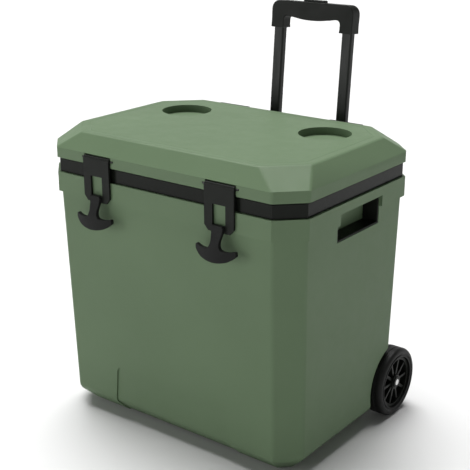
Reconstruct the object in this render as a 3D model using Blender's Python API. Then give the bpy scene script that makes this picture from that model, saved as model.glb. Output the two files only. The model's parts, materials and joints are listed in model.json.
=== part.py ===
"""A hard cooler on two wheels, with a telescopic handle, a hinged lid and two T latches.

Sizes are in millimetres, and place() turns them into metres. X runs across the cooler, Y from
its front to its back and Z up from the ground. While it is built, the lid's middle is at Y = 0;
the empty "cooler_frame" then centres the whole object on the origin.
"""

import math

import bmesh
import bpy
from mathutils import Matrix, Vector

MM = 0.001
GAP = 0.3                # between pieces that touch

# Outer form, from the ground up
width = 480.0            # lid and collar, across
depth = 338.0            # lid and collar, front to back
corner = 37.0            # leg of the 45 degree corners
body_height = 379.0      # ground to the collar's underside
collar_height = 31.0
band_height = 23.0       # dark band between collar and lid
rim_height = 17.0        # upright edge of the lid
slope_height = 25.0      # slanted edge of the lid
slope_run = 21.0
top_corner = 52.0
collar_step = 5.0
side_draft = 9.8         # how far the drafted walls come in at the ground
front_draft = 17.8       # the same at the front and the rear
foot_corner = 32.5
bottom_chamfer = 33.0     # leg of the sloping edge round the underside
bottom_soft = 20.0        # radius of that slope's own edges
foot_lift = 4.0          # underside between the feet
foot_inner = 112.0       # half the space between the two runners
foot_back = 35.0         # the runners end here
wall = 4.0
panel_top = 97.0         # recessed panel low on the front
panel_half_top = 108.0
panel_half_foot = 118.0
panel_depth = 2.0
panel_corner = 9.0

# Inside
mouth_side_in = 40.0          # tub's mouth inside the collar's outline, at the sides
mouth_front_in = 39.0
floor_side_in = 56.0          # the same for the tub's floor
floor_front_in = 59.0
tub_corner = 14.0
tub_floor_z = 45.0
liner_wall = 3.0
flange = 4.0
plug_depth = 9.0              # lid panel below the lid's edge
plug_clearance = 4.0
gasket_width = 6.0
gasket_inset = 18.0

# Lid details
cup_side_in = 104.0            # cup's middle to the lid's side
cup_rear_in = 105.0
cup_radius = 41.0
cup_depth = 12.0
seat_clearance = 2.5          # band top to lid edge

# Lid hinges
hinge_x = 112.0
hinge_half = 30.0
hinge_y_in = 6.0              # axis in front of the lid's rear face
hinge_z = 463.0
knuckle_radius = 8.0
leaf_half = 17.5
hinge_pin_radius = 3.0
hinge_plate = 5.0
hinge_foot = 384.0            # bottom of the bracket on the collar
hinge_wall_gap = 3.0          # knuckle to the lid's pocket

# Latches
latch_x = 117.0
latch_half = 26.0
latch_thick = 3.6
latch_foot = 377.0
latch_axis_in = 1.0           # axis behind the lid's front face
latch_axis_z = 443.0
latch_barrel = 4.0
latch_pin_radius = 1.6
window_half = 11.5
window_low = 387.0
window_high = 417.0
keeper_rise = 10.0
pull_half = 35.7              # half the width of the T
pull_top = 386.0
pull_foot = 337.0
pull_neck = 9.0
pull_thick = 6.0
pull_reach = 15.0             # how far the T stands off the plate

# Wheels and axle
wheel_radius = 57.0
wheel_rear_in = 29.4           # axle in front of the lid's rear face
wheel_side_out = 2.3           # outer face of the tyre beyond the collar
wheel_width = 34.0
tyre_height = 14.0
arch_clearance = 11.5
well_clearance = 5.3          # wheel to the well's inner wall
axle_radius = 5.0
axle_end_in = 0.8              # axle's end inside the tyre's outer face
hub_radius = 12.0
spokes = 10
bore_clearance = 0.3
groove_clearance = 2.0
clamp_x = 150.0
clamp_half = 20.0

# Side grips
grip_front = -52.0
grip_back = 64.0
grip_low = 352.0
grip_high = 396.0
grip_depth = 32.0
sleeve = 2.5

# Telescopic handle, in its own leaning frame
handle_rear_out = 57.0         # tube axis behind the lid, at the height of the lid's top
lean = math.atan(0.08)
tube_x = 67.5
tube_wide = 19.0
tube_deep = 12.0
tube_wall = 1.8
tube_length = 355.0
tube_edge = 2.5
guide_wall = 2.2
guide_clearance = 0.8
guide_low_z = 50.0
guide_high_z = 384.0
arm_wall = 5.0
socket_low = 124.4            # along the tubes, above the lid's top
bar_low = 142.5
bar_high = 170.0
bar_half = 80.2
bar_depth = 22.0
bar_corner = 14.0
bar_edge = 1.5
socket_half = 11.8
button_half = 20.0
button_rise = 4.0
button_travel = 5.0
button_depth = 12.0
crossbar_half = 4.0
crossbar_high = 4.0
rod_radius = 2.5
channel_high = 160.0
grip_recess = 2.0             # seat of the grip's screws
grip_screw_head = 1.4

# Drain
drain_y = 0.0
drain_z = 62.0
drain_radius = 8.0
drain_cap = 14.0
drain_cap_thick = 6.0
strainer_hole = 1.5           # radius of the holes in the liner
strainer_ring = 4.8           # they stand on this radius round a middle one
strainer_gap = 1.5            # plug's end to the liner

# Fasteners
screw_radius = 1.8
screw_head = 4.5
screw_head_height = 2.5
screw_bite = 8.0
boss_radius = 7.0

# Heights and places that follow from the sizes above
collar_top = body_height + collar_height
lid_low = collar_top + band_height
slope_low = lid_low + rim_height
lid_top = slope_low + slope_height
band_top = lid_low - seat_clearance
half_width = width / 2
half_depth = depth / 2
foot_width = width - 2 * side_draft
foot_depth = depth - 2 * front_draft
tub_top = (half_width - mouth_side_in, half_depth - mouth_front_in)
tub_floor = (half_width - floor_side_in, half_depth - floor_front_in)
cup_x = half_width - cup_side_in
cup_y = half_depth - cup_rear_in
wheel_y = half_depth - wheel_rear_in
wheel_face = half_width + wheel_side_out
axle_half = wheel_face - axle_end_in
handle_y = half_depth + handle_rear_out
band_recess = 4.0
hinge_y = half_depth - hinge_y_in
latch_y = -half_depth + latch_axis_in
wheel_inner = wheel_face - wheel_width
well_x = wheel_inner - well_clearance
arch_radius = wheel_radius + arch_clearance
groove = axle_radius + groove_clearance
guide_grow = 2 * (guide_clearance + guide_wall)
guide_wide = tube_wide + guide_grow
guide_deep = tube_deep + guide_grow
bottom_rise = bottom_chamfer + bottom_soft * math.tan(math.radians(22.5))
front_reach = half_depth + GAP + latch_thick + pull_reach
far_out = 2 * half_width      # beyond the object on every side


# ---------------------------------------------------------------- solids

def octagon(half_x, half_y, leg):
    """Corners of a rectangle with cut corners, anticlockwise from the front right."""
    x, y = half_x - leg, half_y - leg
    return [
        (x, -half_y), (half_x, -y), (half_x, y), (x, half_y),
        (-x, half_y), (-half_x, y), (-half_x, -y), (-x, -half_y),
    ]


def shrunk(half_x, half_y, leg, inset):
    """An octagon's sizes after every side has moved in by inset."""
    return half_x - inset, half_y - inset, leg - inset * (2 - math.sqrt(2))


def loft(rings):
    """A solid through outlines with equal numbers of points, listed bottom to top."""
    bm = bmesh.new()
    rows = [[bm.verts.new((x, y, z)) for x, y in outline] for z, outline in rings]
    for lower, upper in zip(rows, rows[1:]):
        for i in range(len(lower)):
            j = (i + 1) % len(lower)
            bm.faces.new((lower[i], lower[j], upper[j], upper[i]))
    bm.faces.new(rows[0][::-1])
    bm.faces.new(rows[-1])
    return bm


def box(low, high):
    """A box between two opposite corners."""
    (x0, y0, z0), (x1, y1, z1) = low, high
    outline = [(x0, y0), (x1, y0), (x1, y1), (x0, y1)]
    return loft([(z0, outline), (z1, outline)])


def side_box(side, x0, x1, y0, y1, z0, z1):
    """A box whose X runs outward from the middle on one side of the cooler."""
    low, high = sorted((side * x0, side * x1))
    return box((low, y0, z0), (high, y1, z1))


def prism(outline, axis, low, high):
    """An outline in the two other axes, extruded along axis X, Y or Z."""
    bm = bmesh.new()
    place_point = {
        "X": lambda a, b, t: (t, a, b),
        "Y": lambda a, b, t: (a, t, b),
        "Z": lambda a, b, t: (a, b, t),
    }[axis]
    near = [bm.verts.new(place_point(a, b, low)) for a, b in outline]
    far = [bm.verts.new(place_point(a, b, high)) for a, b in outline]
    for i in range(len(near)):
        j = (i + 1) % len(near)
        bm.faces.new((near[i], near[j], far[j], far[i]))
    bm.faces.new(near)
    bm.faces.new(far)
    bmesh.ops.recalc_face_normals(bm, faces=bm.faces)
    return bm


def rod(axis, start, end, centre, radius, segments=16):
    """A cylinder along X, Y or Z from start to end; centre gives the two other coordinates."""
    outline = [
        (centre[0] + radius * math.cos(turn), centre[1] + radius * math.sin(turn))
        for turn in (2 * math.pi * i / segments for i in range(segments))
    ]
    return prism(outline, axis, start, end)


def revolve(profile, centre, segments):
    """A closed (x, radius) profile turned about the X-wise line through centre (y, z)."""
    bm = bmesh.new()
    rows = []
    for i in range(segments):
        turn = 2 * math.pi * i / segments
        rows.append([
            bm.verts.new((x, centre[0] + r * math.cos(turn), centre[1] + r * math.sin(turn)))
            for x, r in profile
        ])
    for i in range(segments):
        row, after = rows[i], rows[(i + 1) % segments]
        for j in range(len(profile)):
            k = (j + 1) % len(profile)
            bm.faces.new((row[j], row[k], after[k], after[j]))
    bmesh.ops.recalc_face_normals(bm, faces=bm.faces)
    return bm


def round_edges(bm, edges, radius):
    """Round the chosen edges in two steps."""
    bmesh.ops.bevel(
        bm, geom=edges, offset=radius, offset_type="OFFSET",
        segments=2, profile=0.5, affect="EDGES",
    )


def scratch(bm):
    """A temporary object that holds a bmesh."""
    mesh = bpy.data.meshes.new("scratch")
    bm.to_mesh(mesh)
    bm.free()
    obj = bpy.data.objects.new("scratch", mesh)
    bpy.context.collection.objects.link(obj)
    return obj


def combine(base, tools, operation):
    """The base after a Boolean with each tool in turn."""
    body = scratch(base)
    helpers = [scratch(tool) for tool in tools]
    for helper in helpers:
        step = body.modifiers.new("step", "BOOLEAN")
        step.operation = operation
        step.object = helper
    result = bmesh.new()
    result.from_object(body, bpy.context.evaluated_depsgraph_get())
    for obj in [body] + helpers:
        mesh = obj.data
        bpy.data.objects.remove(obj)
        bpy.data.meshes.remove(mesh)
    return result


def cut(base, *tools):
    return combine(base, tools, "DIFFERENCE")


def join(base, *tools):
    return combine(base, tools, "UNION")


# ---------------------------------------------------------------- objects

def finish(name, colour, roughness, metallic=0.0):
    """A Principled material."""
    material = bpy.data.materials.new(name)
    material.use_nodes = True
    shader = material.node_tree.nodes["Principled BSDF"]
    shader.inputs["Base Color"].default_value = (*colour, 1.0)
    shader.inputs["Roughness"].default_value = roughness
    shader.inputs["Metallic"].default_value = metallic
    return material


def place(name, bm, material, parent, origin=(0.0, 0.0, 0.0), smooth=False):
    """Turn a bmesh in millimetres into the named object, with its own origin."""
    bmesh.ops.remove_doubles(bm, verts=bm.verts, dist=0.001)
    bmesh.ops.dissolve_degenerate(bm, edges=bm.edges, dist=0.001)
    to_origin = Matrix.Scale(MM, 4) @ Matrix.Translation(-Vector(origin))
    bmesh.ops.transform(bm, matrix=to_origin, verts=bm.verts)
    mesh = bpy.data.meshes.new(name)
    bm.to_mesh(mesh)
    bm.free()
    mesh.materials.append(material)
    if smooth:
        mesh.shade_smooth()
        mesh.set_sharp_from_angle(angle=math.radians(35))
    obj = bpy.data.objects.new(name, mesh)
    obj.location = Vector(origin) * MM
    obj.parent = parent
    bpy.context.collection.objects.link(obj)
    return obj


def frame(name, parent=None, location=(0.0, 0.0, 0.0), tilt=0.0):
    """An empty that other pieces hang from."""
    empty = bpy.data.objects.new(name, None)
    empty.location = Vector(location) * MM
    empty.rotation_euler.x = tilt
    empty.parent = parent
    bpy.context.collection.objects.link(empty)
    return empty


def sides():
    """The left and right sides as names and signs."""
    return (("left", -1), ("right", 1))


# ---------------------------------------------------------------- body

def body_section(z):
    """Half sizes and corner leg of the drafted body at height z."""
    top = shrunk(half_width, half_depth, corner, collar_step)
    foot = (foot_width / 2, foot_depth / 2, foot_corner)
    share = z / body_height
    return tuple(f + (t - f) * share for f, t in zip(foot, top))


def rear_wall(z):
    """Y of the body's rear face at height z."""
    return body_section(z)[1]


def bottom_profile(inset):
    """Heights and insets up the sloping edge of the underside, whose own edges are arcs."""
    radius = bottom_soft - inset
    low = [(bottom_soft - radius * math.cos(turn), bottom_rise - radius * math.sin(turn))
           for turn in (math.radians(15 * i) for i in range(4))]
    return low + [(pull_in, z) for z, pull_in in reversed(low)]


def body_form(inset, top):
    """The body's outer form, moved in by inset, as rings up to height top."""
    rings = []
    for z, pull_in in bottom_profile(inset):
        rings.append((z, octagon(*shrunk(*body_section(z), pull_in))))
    under_collar = octagon(*shrunk(*body_section(body_height), inset))
    rings.append((body_height, under_collar))
    if top > body_height:
        rings.append((top, under_collar))
    return rings


def wheel_wells(grow):
    """The two wheel arches, grown by grow for the wall around them."""
    centre = (wheel_y, wheel_radius)
    return [
        rod("X", side * (well_x - grow), side * far_out, centre, arch_radius + grow, 40)
        for _, side in sides()
    ]


def axle_groove(grow):
    """The slot in the rear wall that takes the axle, grown by grow."""
    return box(
        (-far_out, wheel_y - groove - grow, wheel_radius - groove - grow),
        (far_out, far_out, wheel_radius + groove + grow),
    )


def grip_pockets(grow):
    """The two side pockets, grown by grow."""
    return [
        side_box(
            side, half_width - grip_depth - grow, far_out,
            grip_front - grow, grip_back + grow, grip_low - grow, grip_high + grow,
        )
        for _, side in sides()
    ]


def rear_screw_places():
    """(x, z) of the screws that enter the body's rear wall."""
    places = [(side * clamp_x, clamp_screw_z()) for _, side in sides()]
    places += [(side * plate_screw_x(), upper_screw_z()) for _, side in sides()]
    places += [(side * plate_screw_x(), clamp_screw_z()) for _, side in sides()]
    return places


def clamp_screw_z():
    return wheel_radius + groove + wall + screw_head + 2


def upper_screw_z():
    return upper_bracket_low() + 10


def plate_screw_x():
    return tube_x - guide_wide / 2 - arm_wall - screw_head - 10


def rear_bosses(grow):
    """Solid plastic behind each rear screw."""
    return [
        rod("Y", rear_wall(z) - wall - screw_bite - 2 - grow, depth, (x, z), boss_radius + grow, 16)
        for x, z in rear_screw_places()
    ]


def drain_bore(radius):
    """A bore through the left wall, from the tub to the outside."""
    return rod("X", -far_out, -tub_floor[0] / 2, (drain_y, drain_z), radius, 24)


def strainer():
    """The small holes that let water out of the tub behind the plug."""
    places = [(drain_y, drain_z)]
    for i in range(6):
        turn = math.pi * i / 3
        step = (strainer_ring * math.cos(turn), strainer_ring * math.sin(turn))
        places.append((drain_y + step[0], drain_z + step[1]))
    return [rod("X", -far_out, -tub_floor[0] / 2, place, strainer_hole, 12) for place in places]


def cavity(inset, top):
    """The room between shell and tub: the body's form without the hollows that reach in."""
    form = loft(body_form(inset, top))
    floor = box((-width, -depth, -1), (width, depth, foot_lift + inset))
    pockets = grip_pockets(inset) + rear_bosses(inset - wall)
    return cut(form, floor, axle_groove(inset), *wheel_wells(inset), *pockets)


def tub_section(z):
    """Half sizes of the tub's inside at height z."""
    share = (z - tub_floor_z) / (collar_top - tub_floor_z)
    return tuple(f + (t - f) * share for f, t in zip(tub_floor, tub_top))


def tub_form(grow, low, high):
    """The tub's inside, grown by grow, between two heights."""
    return loft([
        (z, octagon(*shrunk(*tub_section(z), tub_corner, -grow)))
        for z in (low, high)
    ])


def front_panel():
    """The thin skin that is cut away low on the front, with rounded upper corners."""
    right = [(panel_half_foot, -1)]
    for i in range(5):
        turn = math.radians(90) * i / 4
        right.append((
            panel_half_top - panel_corner * (1 - math.cos(turn)),
            panel_top - panel_corner * (1 - math.sin(turn)),
        ))
    outline = right + [(-x, z) for x, z in reversed(right)]
    skin = prism(outline, "Y", -depth, -foot_depth / 4)
    return cut(skin, loft(body_form(panel_depth, body_height)))


def keeper_tabs():
    """Small upright tabs of the collar, which show through the latches' windows."""
    return [
        box(
            (side * latch_x - window_half - 1.5, -half_depth, collar_top - 1),
            (side * latch_x + window_half + 1.5, -half_depth + band_recess - GAP, collar_top + keeper_rise),
        )
        for _, side in sides()
    ]


def screw_hole(x, z, from_y, to_y):
    return rod("Y", from_y, to_y, (x, z), screw_radius + GAP, 12)


def body_shell(material, parent):
    outer = loft(body_form(0.0, body_height))
    collar = loft([
        (body_height - 0.01, octagon(*shrunk(half_width, half_depth, corner, collar_step))),
        (body_height, octagon(half_width, half_depth, corner)),
        (collar_top, octagon(half_width, half_depth, corner)),
    ])
    solid = join(outer, collar, *keeper_tabs())
    hollows = wheel_wells(0.0) + grip_pockets(0.0) + [axle_groove(0.0), front_panel()]
    hollows.append(box((-foot_inner, -depth, -1), (foot_inner, depth, foot_lift)))
    hollows.append(box((-width, foot_back, -1), (width, depth, foot_lift)))
    solid = cut(solid, *hollows, cavity(wall, collar_top + keeper_rise))
    holes = [screw_hole(x, z, rear_wall(z) - wall - screw_bite, depth) for x, z in rear_screw_places()]
    holes += [
        screw_hole(side * hinge_x, hinge_screw_z(), half_depth - screw_bite + 1, depth)
        for _, side in sides()
    ]
    place("body_shell", cut(solid, *holes, drain_bore(drain_radius + GAP)), material, parent)


def body_foam(material, parent):
    top = collar_top - flange - GAP
    room = cavity(wall + GAP, top)
    bore = drain_bore(drain_radius + GAP)
    tub = tub_form(liner_wall + GAP, tub_floor_z - liner_wall - GAP, collar_top + 1)
    place("body_foam", cut(room, tub, bore), material, parent)


def inner_liner(material, parent):
    tub = tub_form(liner_wall, tub_floor_z - liner_wall, collar_top)
    lip = shrunk(*body_section(body_height), wall + GAP)
    flat = loft([(z, octagon(*lip)) for z in (collar_top - flange, collar_top)])
    inside = tub_form(0.0, tub_floor_z, collar_top + 1)
    place("inner_liner", cut(join(tub, flat), inside, *strainer()), material, parent)


def rim_frame(material, parent):
    outline = octagon(*shrunk(half_width, half_depth, corner, band_recess))
    band = loft([(collar_top + GAP, outline), (band_top, outline)])
    mouth = octagon(*tub_top, tub_corner)
    place("rim_frame", cut(band, loft([(collar_top - 1, mouth), (band_top + 1, mouth)])), material, parent)


def side_grip(name, side, material, parent):
    outer_x = body_section(grip_low)[0] - 0.5
    inner_x = half_width - grip_depth + GAP
    front, back = grip_front + GAP, grip_back - GAP
    low, high = grip_low + GAP, grip_high - GAP
    block = side_box(side, inner_x, outer_x, front, back, low, high)
    mouth = side_box(
        side, inner_x - 1, outer_x + 1,
        front + sleeve, back - sleeve, low + sleeve, high - sleeve,
    )
    place(f"side_grip_{name}", cut(block, mouth), material, parent)


def drain_plug(material, parent):
    wall_x = body_section(drain_z)[0]
    stem_end = tub_section(drain_z + drain_radius)[0] + liner_wall + strainer_gap
    stem = rod("X", -wall_x - 1, -stem_end, (drain_y, drain_z), drain_radius, 24)
    cap_low = wall_x + GAP + 0.3
    cap = rod("X", -cap_low - drain_cap_thick, -cap_low, (drain_y, drain_z), drain_cap, 24)
    origin = (-wall_x, drain_y, drain_z)
    place("drain_plug", join(stem, cap), material, parent, origin, smooth=True)


# ---------------------------------------------------------------- screws

def rear_screw(name, x, z, under_head, reach, material, parent):
    """A screw whose head faces the back; under_head is the Y of the head's underside."""
    head = rod("Y", under_head, under_head + screw_head_height, (x, z), screw_head, 16)
    shank = rod("Y", under_head - reach, under_head + 0.5, (x, z), screw_radius, 8)
    place(name, join(head, shank), material, parent, (x, under_head, z), smooth=True)


# ---------------------------------------------------------------- lid hinge

def hinge_screw_z():
    return hinge_foot + 13


def hinge_bracket(name, side, material, parent):
    x = side * hinge_x
    back = half_depth + GAP
    ear_low = hinge_z - knuckle_radius - hinge_wall_gap
    plate = box((x - hinge_half, back, hinge_foot), (x + hinge_half, back + hinge_plate, ear_low))
    parts = []
    for end in (-1, 1):
        inner, outer = sorted((x + end * (leaf_half + 0.5), x + end * hinge_half))
        parts.append(box((inner, back, ear_low - 1), (outer, back + hinge_plate, hinge_z)))
        parts.append(rod("X", inner, outer, (hinge_y, hinge_z), knuckle_radius, 24))
    bracket = join(plate, *parts)
    hole = screw_hole(x, hinge_screw_z(), half_depth - 1, half_depth + 20)
    bore = rod("X", x - 50, x + 50, (hinge_y, hinge_z), hinge_pin_radius + bore_clearance, 16)
    place(f"hinge_bracket_{name}", cut(bracket, hole, bore), material, parent, smooth=True)


def hinge_pin(name, side, material, parent):
    x = side * hinge_x
    pin = rod("X", x - hinge_half - 1.5, x + hinge_half + 1.5, (hinge_y, hinge_z), hinge_pin_radius, 16)
    place(f"hinge_pin_{name}", pin, material, parent, (x, hinge_y, hinge_z), smooth=True)


def hinge_pocket_y():
    """Front wall of the lid's hinge pocket."""
    return hinge_y - knuckle_radius - hinge_wall_gap


def hinge_leaf(name, side, material, parent):
    x = side * hinge_x
    wall_y = hinge_pocket_y() + GAP
    low, high = lid_low + 5, lid_top - 4
    leaf = box((x - leaf_half, wall_y, low), (x + leaf_half, wall_y + hinge_wall_gap, high))
    barrel = rod("X", x - leaf_half, x + leaf_half, (hinge_y, hinge_z), knuckle_radius, 24)
    web = box(
        (x - leaf_half, wall_y + 1, hinge_z - knuckle_radius / 2),
        (x + leaf_half, hinge_y, hinge_z + knuckle_radius / 2),
    )
    bore = rod("X", x - 50, x + 50, (hinge_y, hinge_z), hinge_pin_radius + bore_clearance, 16)
    hole = screw_hole(x, leaf_screw_z(), wall_y - 1, half_depth)
    place(f"hinge_leaf_{name}", cut(join(leaf, barrel, web), bore, hole), material, parent, smooth=True)


def leaf_screw_z():
    return lid_low + 12


# ---------------------------------------------------------------- lid

def lid_form(inset, low):
    """The lid's outer form, moved in by inset, from height low up."""
    run = shrunk(half_width - slope_run, half_depth - slope_run, top_corner, inset)
    rim = shrunk(half_width, half_depth, corner, inset)
    return loft([
        (low, octagon(*rim)),
        (slope_low - inset * 0.4, octagon(*rim)),
        (lid_top - inset, octagon(*run)),
    ])


def lid_hollows(grow):
    """Cups, hinge pockets and latch pockets, grown by grow for the wall around them."""
    tools = []
    for _, side in sides():
        floor = lid_top - cup_depth
        tools.append(rod("Z", floor - grow, lid_top + 20, (side * cup_x, cup_y), cup_radius + grow, 48))
        reach = hinge_half + hinge_wall_gap + grow
        tools.append(box(
            (side * hinge_x - reach, hinge_pocket_y() - grow, lid_low - 20),
            (side * hinge_x + reach, depth, lid_top + 20),
        ))
        reach = latch_half + 1 + grow * 1.6
        tools.append(box(
            (side * latch_x - reach, -depth, lid_low - 20),
            (side * latch_x + reach, latch_pocket_y() + grow, latch_axis_z + latch_barrel + 2 + grow),
        ))
    return tools


def latch_pocket_y():
    """Rear wall of the lid's latch pocket."""
    return latch_y + latch_barrel + 0.8


def leaf_bosses(grow):
    """Solid plastic in front of each hinge leaf's screw."""
    return [
        rod(
            "Y", hinge_pocket_y() - screw_bite - 2 - grow, depth,
            (side * hinge_x, leaf_screw_z()), boss_radius + grow, 16,
        )
        for _, side in sides()
    ]


def lid_cavity(inset, low):
    return cut(lid_form(inset, low), *lid_hollows(inset), *leaf_bosses(inset - wall))


def lid_shell(material, parent):
    solid = cut(lid_form(0.0, lid_low), *lid_hollows(0.0))
    solid = cut(solid, lid_cavity(wall, lid_low - 5))
    holes = []
    for _, side in sides():
        centre = (latch_y, latch_axis_z)
        reach = latch_half + 6
        x = side * latch_x
        holes.append(rod("X", x - reach, x + reach, centre, latch_pin_radius + bore_clearance, 12))
        y = hinge_pocket_y()
        holes.append(screw_hole(side * hinge_x, leaf_screw_z(), y - screw_bite, y + 5))
    place("lid_shell", cut(solid, *holes), material, parent, (0.0, hinge_y, hinge_z))


def lid_panel_top():
    return lid_low + liner_wall


def lid_foam(material, parent):
    foam = lid_cavity(wall + GAP, lid_panel_top() + GAP)
    place("lid_foam", foam, material, parent, (0.0, hinge_y, hinge_z))


def lid_liner(material, parent):
    rim = shrunk(half_width, half_depth, corner, wall + GAP)
    panel = loft([(lid_low, octagon(*rim)), (lid_panel_top(), octagon(*rim))])
    panel = cut(panel, *lid_hollows(wall + GAP), *leaf_bosses(GAP))
    mouth = shrunk(*tub_top, tub_corner, plug_clearance)
    low = shrunk(*mouth, 3.0)
    plug = loft([(lid_low - plug_depth, octagon(*low)), (lid_low + 1, octagon(*mouth))])
    place("lid_liner", join(panel, plug), material, parent, (0.0, hinge_y, hinge_z))


def lid_gasket(material, parent):
    outer = shrunk(half_width, half_depth, corner, gasket_inset)
    inner = shrunk(half_width, half_depth, corner, gasket_inset + gasket_width)
    low, high = band_top + GAP, lid_low - GAP
    ring = loft([(low, octagon(*outer)), (high, octagon(*outer))])
    hole = loft([(low - 1, octagon(*inner)), (high + 1, octagon(*inner))])
    place("lid_gasket", cut(ring, hole), material, parent, (0.0, hinge_y, hinge_z))


# ---------------------------------------------------------------- latches

def latch_pin(name, side, material, parent):
    x = side * latch_x
    reach = latch_half + 5
    pin = rod("X", x - reach, x + reach, (latch_y, latch_axis_z), latch_pin_radius, 12)
    place(f"latch_pin_{name}", pin, material, parent, (x, latch_y, latch_axis_z), smooth=True)


def latch_plate(name, side, material, parent):
    x = side * latch_x
    back = -half_depth - GAP
    front = back - latch_thick
    shoulder = 8.0
    outline = [
        (-latch_half, latch_foot + shoulder), (-latch_half + 7, latch_foot),
        (latch_half - 7, latch_foot), (latch_half, latch_foot + shoulder),
        (latch_half, latch_axis_z), (-latch_half, latch_axis_z),
    ]
    plate = prism([(x + a, b) for a, b in outline], "Y", front, back)
    barrel = rod("X", x - latch_half, x + latch_half, (latch_y, latch_axis_z), latch_barrel, 20)
    window = box((x - window_half, front - 5, window_low), (x + window_half, back + 5, window_high))
    bore = rod("X", x - 50, x + 50, (latch_y, latch_axis_z), latch_pin_radius + bore_clearance, 12)
    origin = (x, latch_y, latch_axis_z)
    place(f"latch_plate_{name}", cut(join(plate, barrel), window, bore), material, parent, origin)


def pull_outline():
    """Front view of the T, about its middle: a neck and two arms with rounded ends."""
    span = pull_half
    right = [
        (pull_neck, pull_top), (pull_neck - 1.5, pull_top - 22), (pull_neck + 3, pull_foot + 20),
        (span * 0.55, pull_foot + 16), (span * 0.85, pull_foot + 19), (span * 0.97, pull_foot + 20),
        (span, pull_foot + 16), (span * 0.94, pull_foot + 9), (span * 0.7, pull_foot + 3.5),
        (span * 0.35, pull_foot + 0.5),
    ]
    left = [(-a, b) for a, b in reversed(right)]
    return right + left


def latch_pull(name, side, material, parent):
    """The T that is pulled: it lies on the plate's foot and curves out below it."""
    x = side * latch_x
    face = -half_depth - 2 * GAP - latch_thick
    blank = prism(pull_outline(), "Y", 0.0, -pull_thick)
    bmesh.ops.triangulate(blank, faces=[f for f in blank.faces if len(f.verts) > 4])
    for height in (latch_foot, latch_foot - 10, pull_foot + 22, pull_foot + 10):
        geometry = list(blank.verts) + list(blank.edges) + list(blank.faces)
        bmesh.ops.bisect_plane(blank, geom=geometry, plane_co=(0, 0, height), plane_no=(0, 0, 1))
    drop = latch_foot - pull_foot
    for vert in blank.verts:
        down = max(0.0, (latch_foot - vert.co.z) / drop)
        outward = (pull_reach - pull_thick) * math.sin(down * math.pi / 2)
        swept_back = 7.0 * (vert.co.x / pull_half) ** 2
        vert.co.y += face - max(0.0, outward - swept_back * min(1.0, down * 1.5))
        vert.co.x += x
    bmesh.ops.recalc_face_normals(blank, faces=blank.faces)
    place(f"latch_pull_{name}", blank, material, parent, (x, latch_y, latch_axis_z), smooth=True)


# ---------------------------------------------------------------- wheels

def tyre(name, side, material, parent):
    x0, x1 = wheel_inner, wheel_face
    inner = wheel_radius - tyre_height
    edge = 5.0
    profile = [
        (x0, inner), (x0, wheel_radius - edge), (x0 + edge * 0.3, wheel_radius - edge * 0.3),
        (x0 + edge, wheel_radius), (x1 - edge, wheel_radius),
        (x1 - edge * 0.3, wheel_radius - edge * 0.3), (x1, wheel_radius - edge), (x1, inner),
    ]
    ring = revolve([(side * x, r) for x, r in profile], (wheel_y, wheel_radius), 48)
    place(f"tyre_{name}", ring, material, parent, (side * x0, wheel_y, wheel_radius), smooth=True)


def rim(name, side, material, parent):
    x0, x1 = wheel_inner + 2, wheel_face - 4
    outer = wheel_radius - tyre_height - GAP
    ring = outer - 5
    web0, web1 = x0 + 12, x0 + 16
    bore = axle_radius + bore_clearance
    profile = [
        (x0, bore), (x0, hub_radius), (web0, hub_radius), (web0, ring), (x0, ring), (x0, outer),
        (x1, outer), (x1, ring), (web1, ring), (web1, hub_radius), (x1 + 1, hub_radius), (x1 + 1, bore),
    ]
    disc = revolve([(side * x, r) for x, r in profile], (wheel_y, wheel_radius), 40)
    ribs = []
    for i in range(spokes):
        rib = side_box(side, web1 - 1, x1 - 2, hub_radius - 2, ring + 2, -2.2, 2.2)
        turn = Matrix.Rotation(2 * math.pi * i / spokes, 4, "X")
        shift = Matrix.Translation((0, wheel_y, wheel_radius))
        bmesh.ops.transform(rib, matrix=shift @ turn, verts=rib.verts)
        ribs.append(rib)
    place(f"rim_{name}", join(disc, *ribs), material, parent, (side * x0, wheel_y, wheel_radius), smooth=True)


def axle(material, parent):
    bar = rod("X", -axle_half, axle_half, (wheel_y, wheel_radius), axle_radius, 20)
    place("axle", bar, material, parent, (0.0, wheel_y, wheel_radius), smooth=True)


def ring_on_axle(name, side, low, high, radius, material, parent):
    """A washer or cap round the axle."""
    bore = axle_radius + bore_clearance
    profile = [(low, bore), (low, radius), (high, radius), (high, bore)]
    ring = revolve([(side * x, r) for x, r in profile], (wheel_y, wheel_radius), 24)
    place(name, ring, material, parent, (side * low, wheel_y, wheel_radius), smooth=True)


def axle_clamp(name, side, material, parent):
    """A plate on the rear wall whose tongue keeps the axle in its groove."""
    low, high = bottom_rise + 3, clamp_screw_z() + screw_head + 3
    tongue = groove - GAP
    stop = wheel_y + axle_radius + GAP
    outline = [
        (rear_wall(low) + GAP, low), (rear_wall(low) + hinge_plate, low),
        (rear_wall(high) + hinge_plate, high), (rear_wall(high) + GAP, high),
        (rear_wall(wheel_radius + tongue) + GAP, wheel_radius + tongue),
        (stop, wheel_radius + tongue), (stop, wheel_radius - tongue),
        (rear_wall(wheel_radius - tongue) + GAP, wheel_radius - tongue),
    ]
    x = side * clamp_x
    body = prism(outline, "X", x - clamp_half, x + clamp_half)
    hole = screw_hole(x, clamp_screw_z(), rear_wall(high) - 20, depth)
    place(f"axle_clamp_{name}", cut(body, hole), material, parent)


# ---------------------------------------------------------------- handle

def leaned(bm):
    """Carry a bmesh from the handle's own frame to the cooler's."""
    carry = Matrix.Translation((0, handle_y, lid_top)) @ Matrix.Rotation(-lean, 4, "X")
    bmesh.ops.transform(bm, matrix=carry, verts=bm.verts)
    return bm


def along(z):
    """Length along the tubes, from the lid's top, at height z."""
    return (z - lid_top) / math.cos(lean)


def tube_line(z):
    """Y of the tubes' axis at height z."""
    return handle_y + (z - lid_top) * math.tan(lean)


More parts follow.
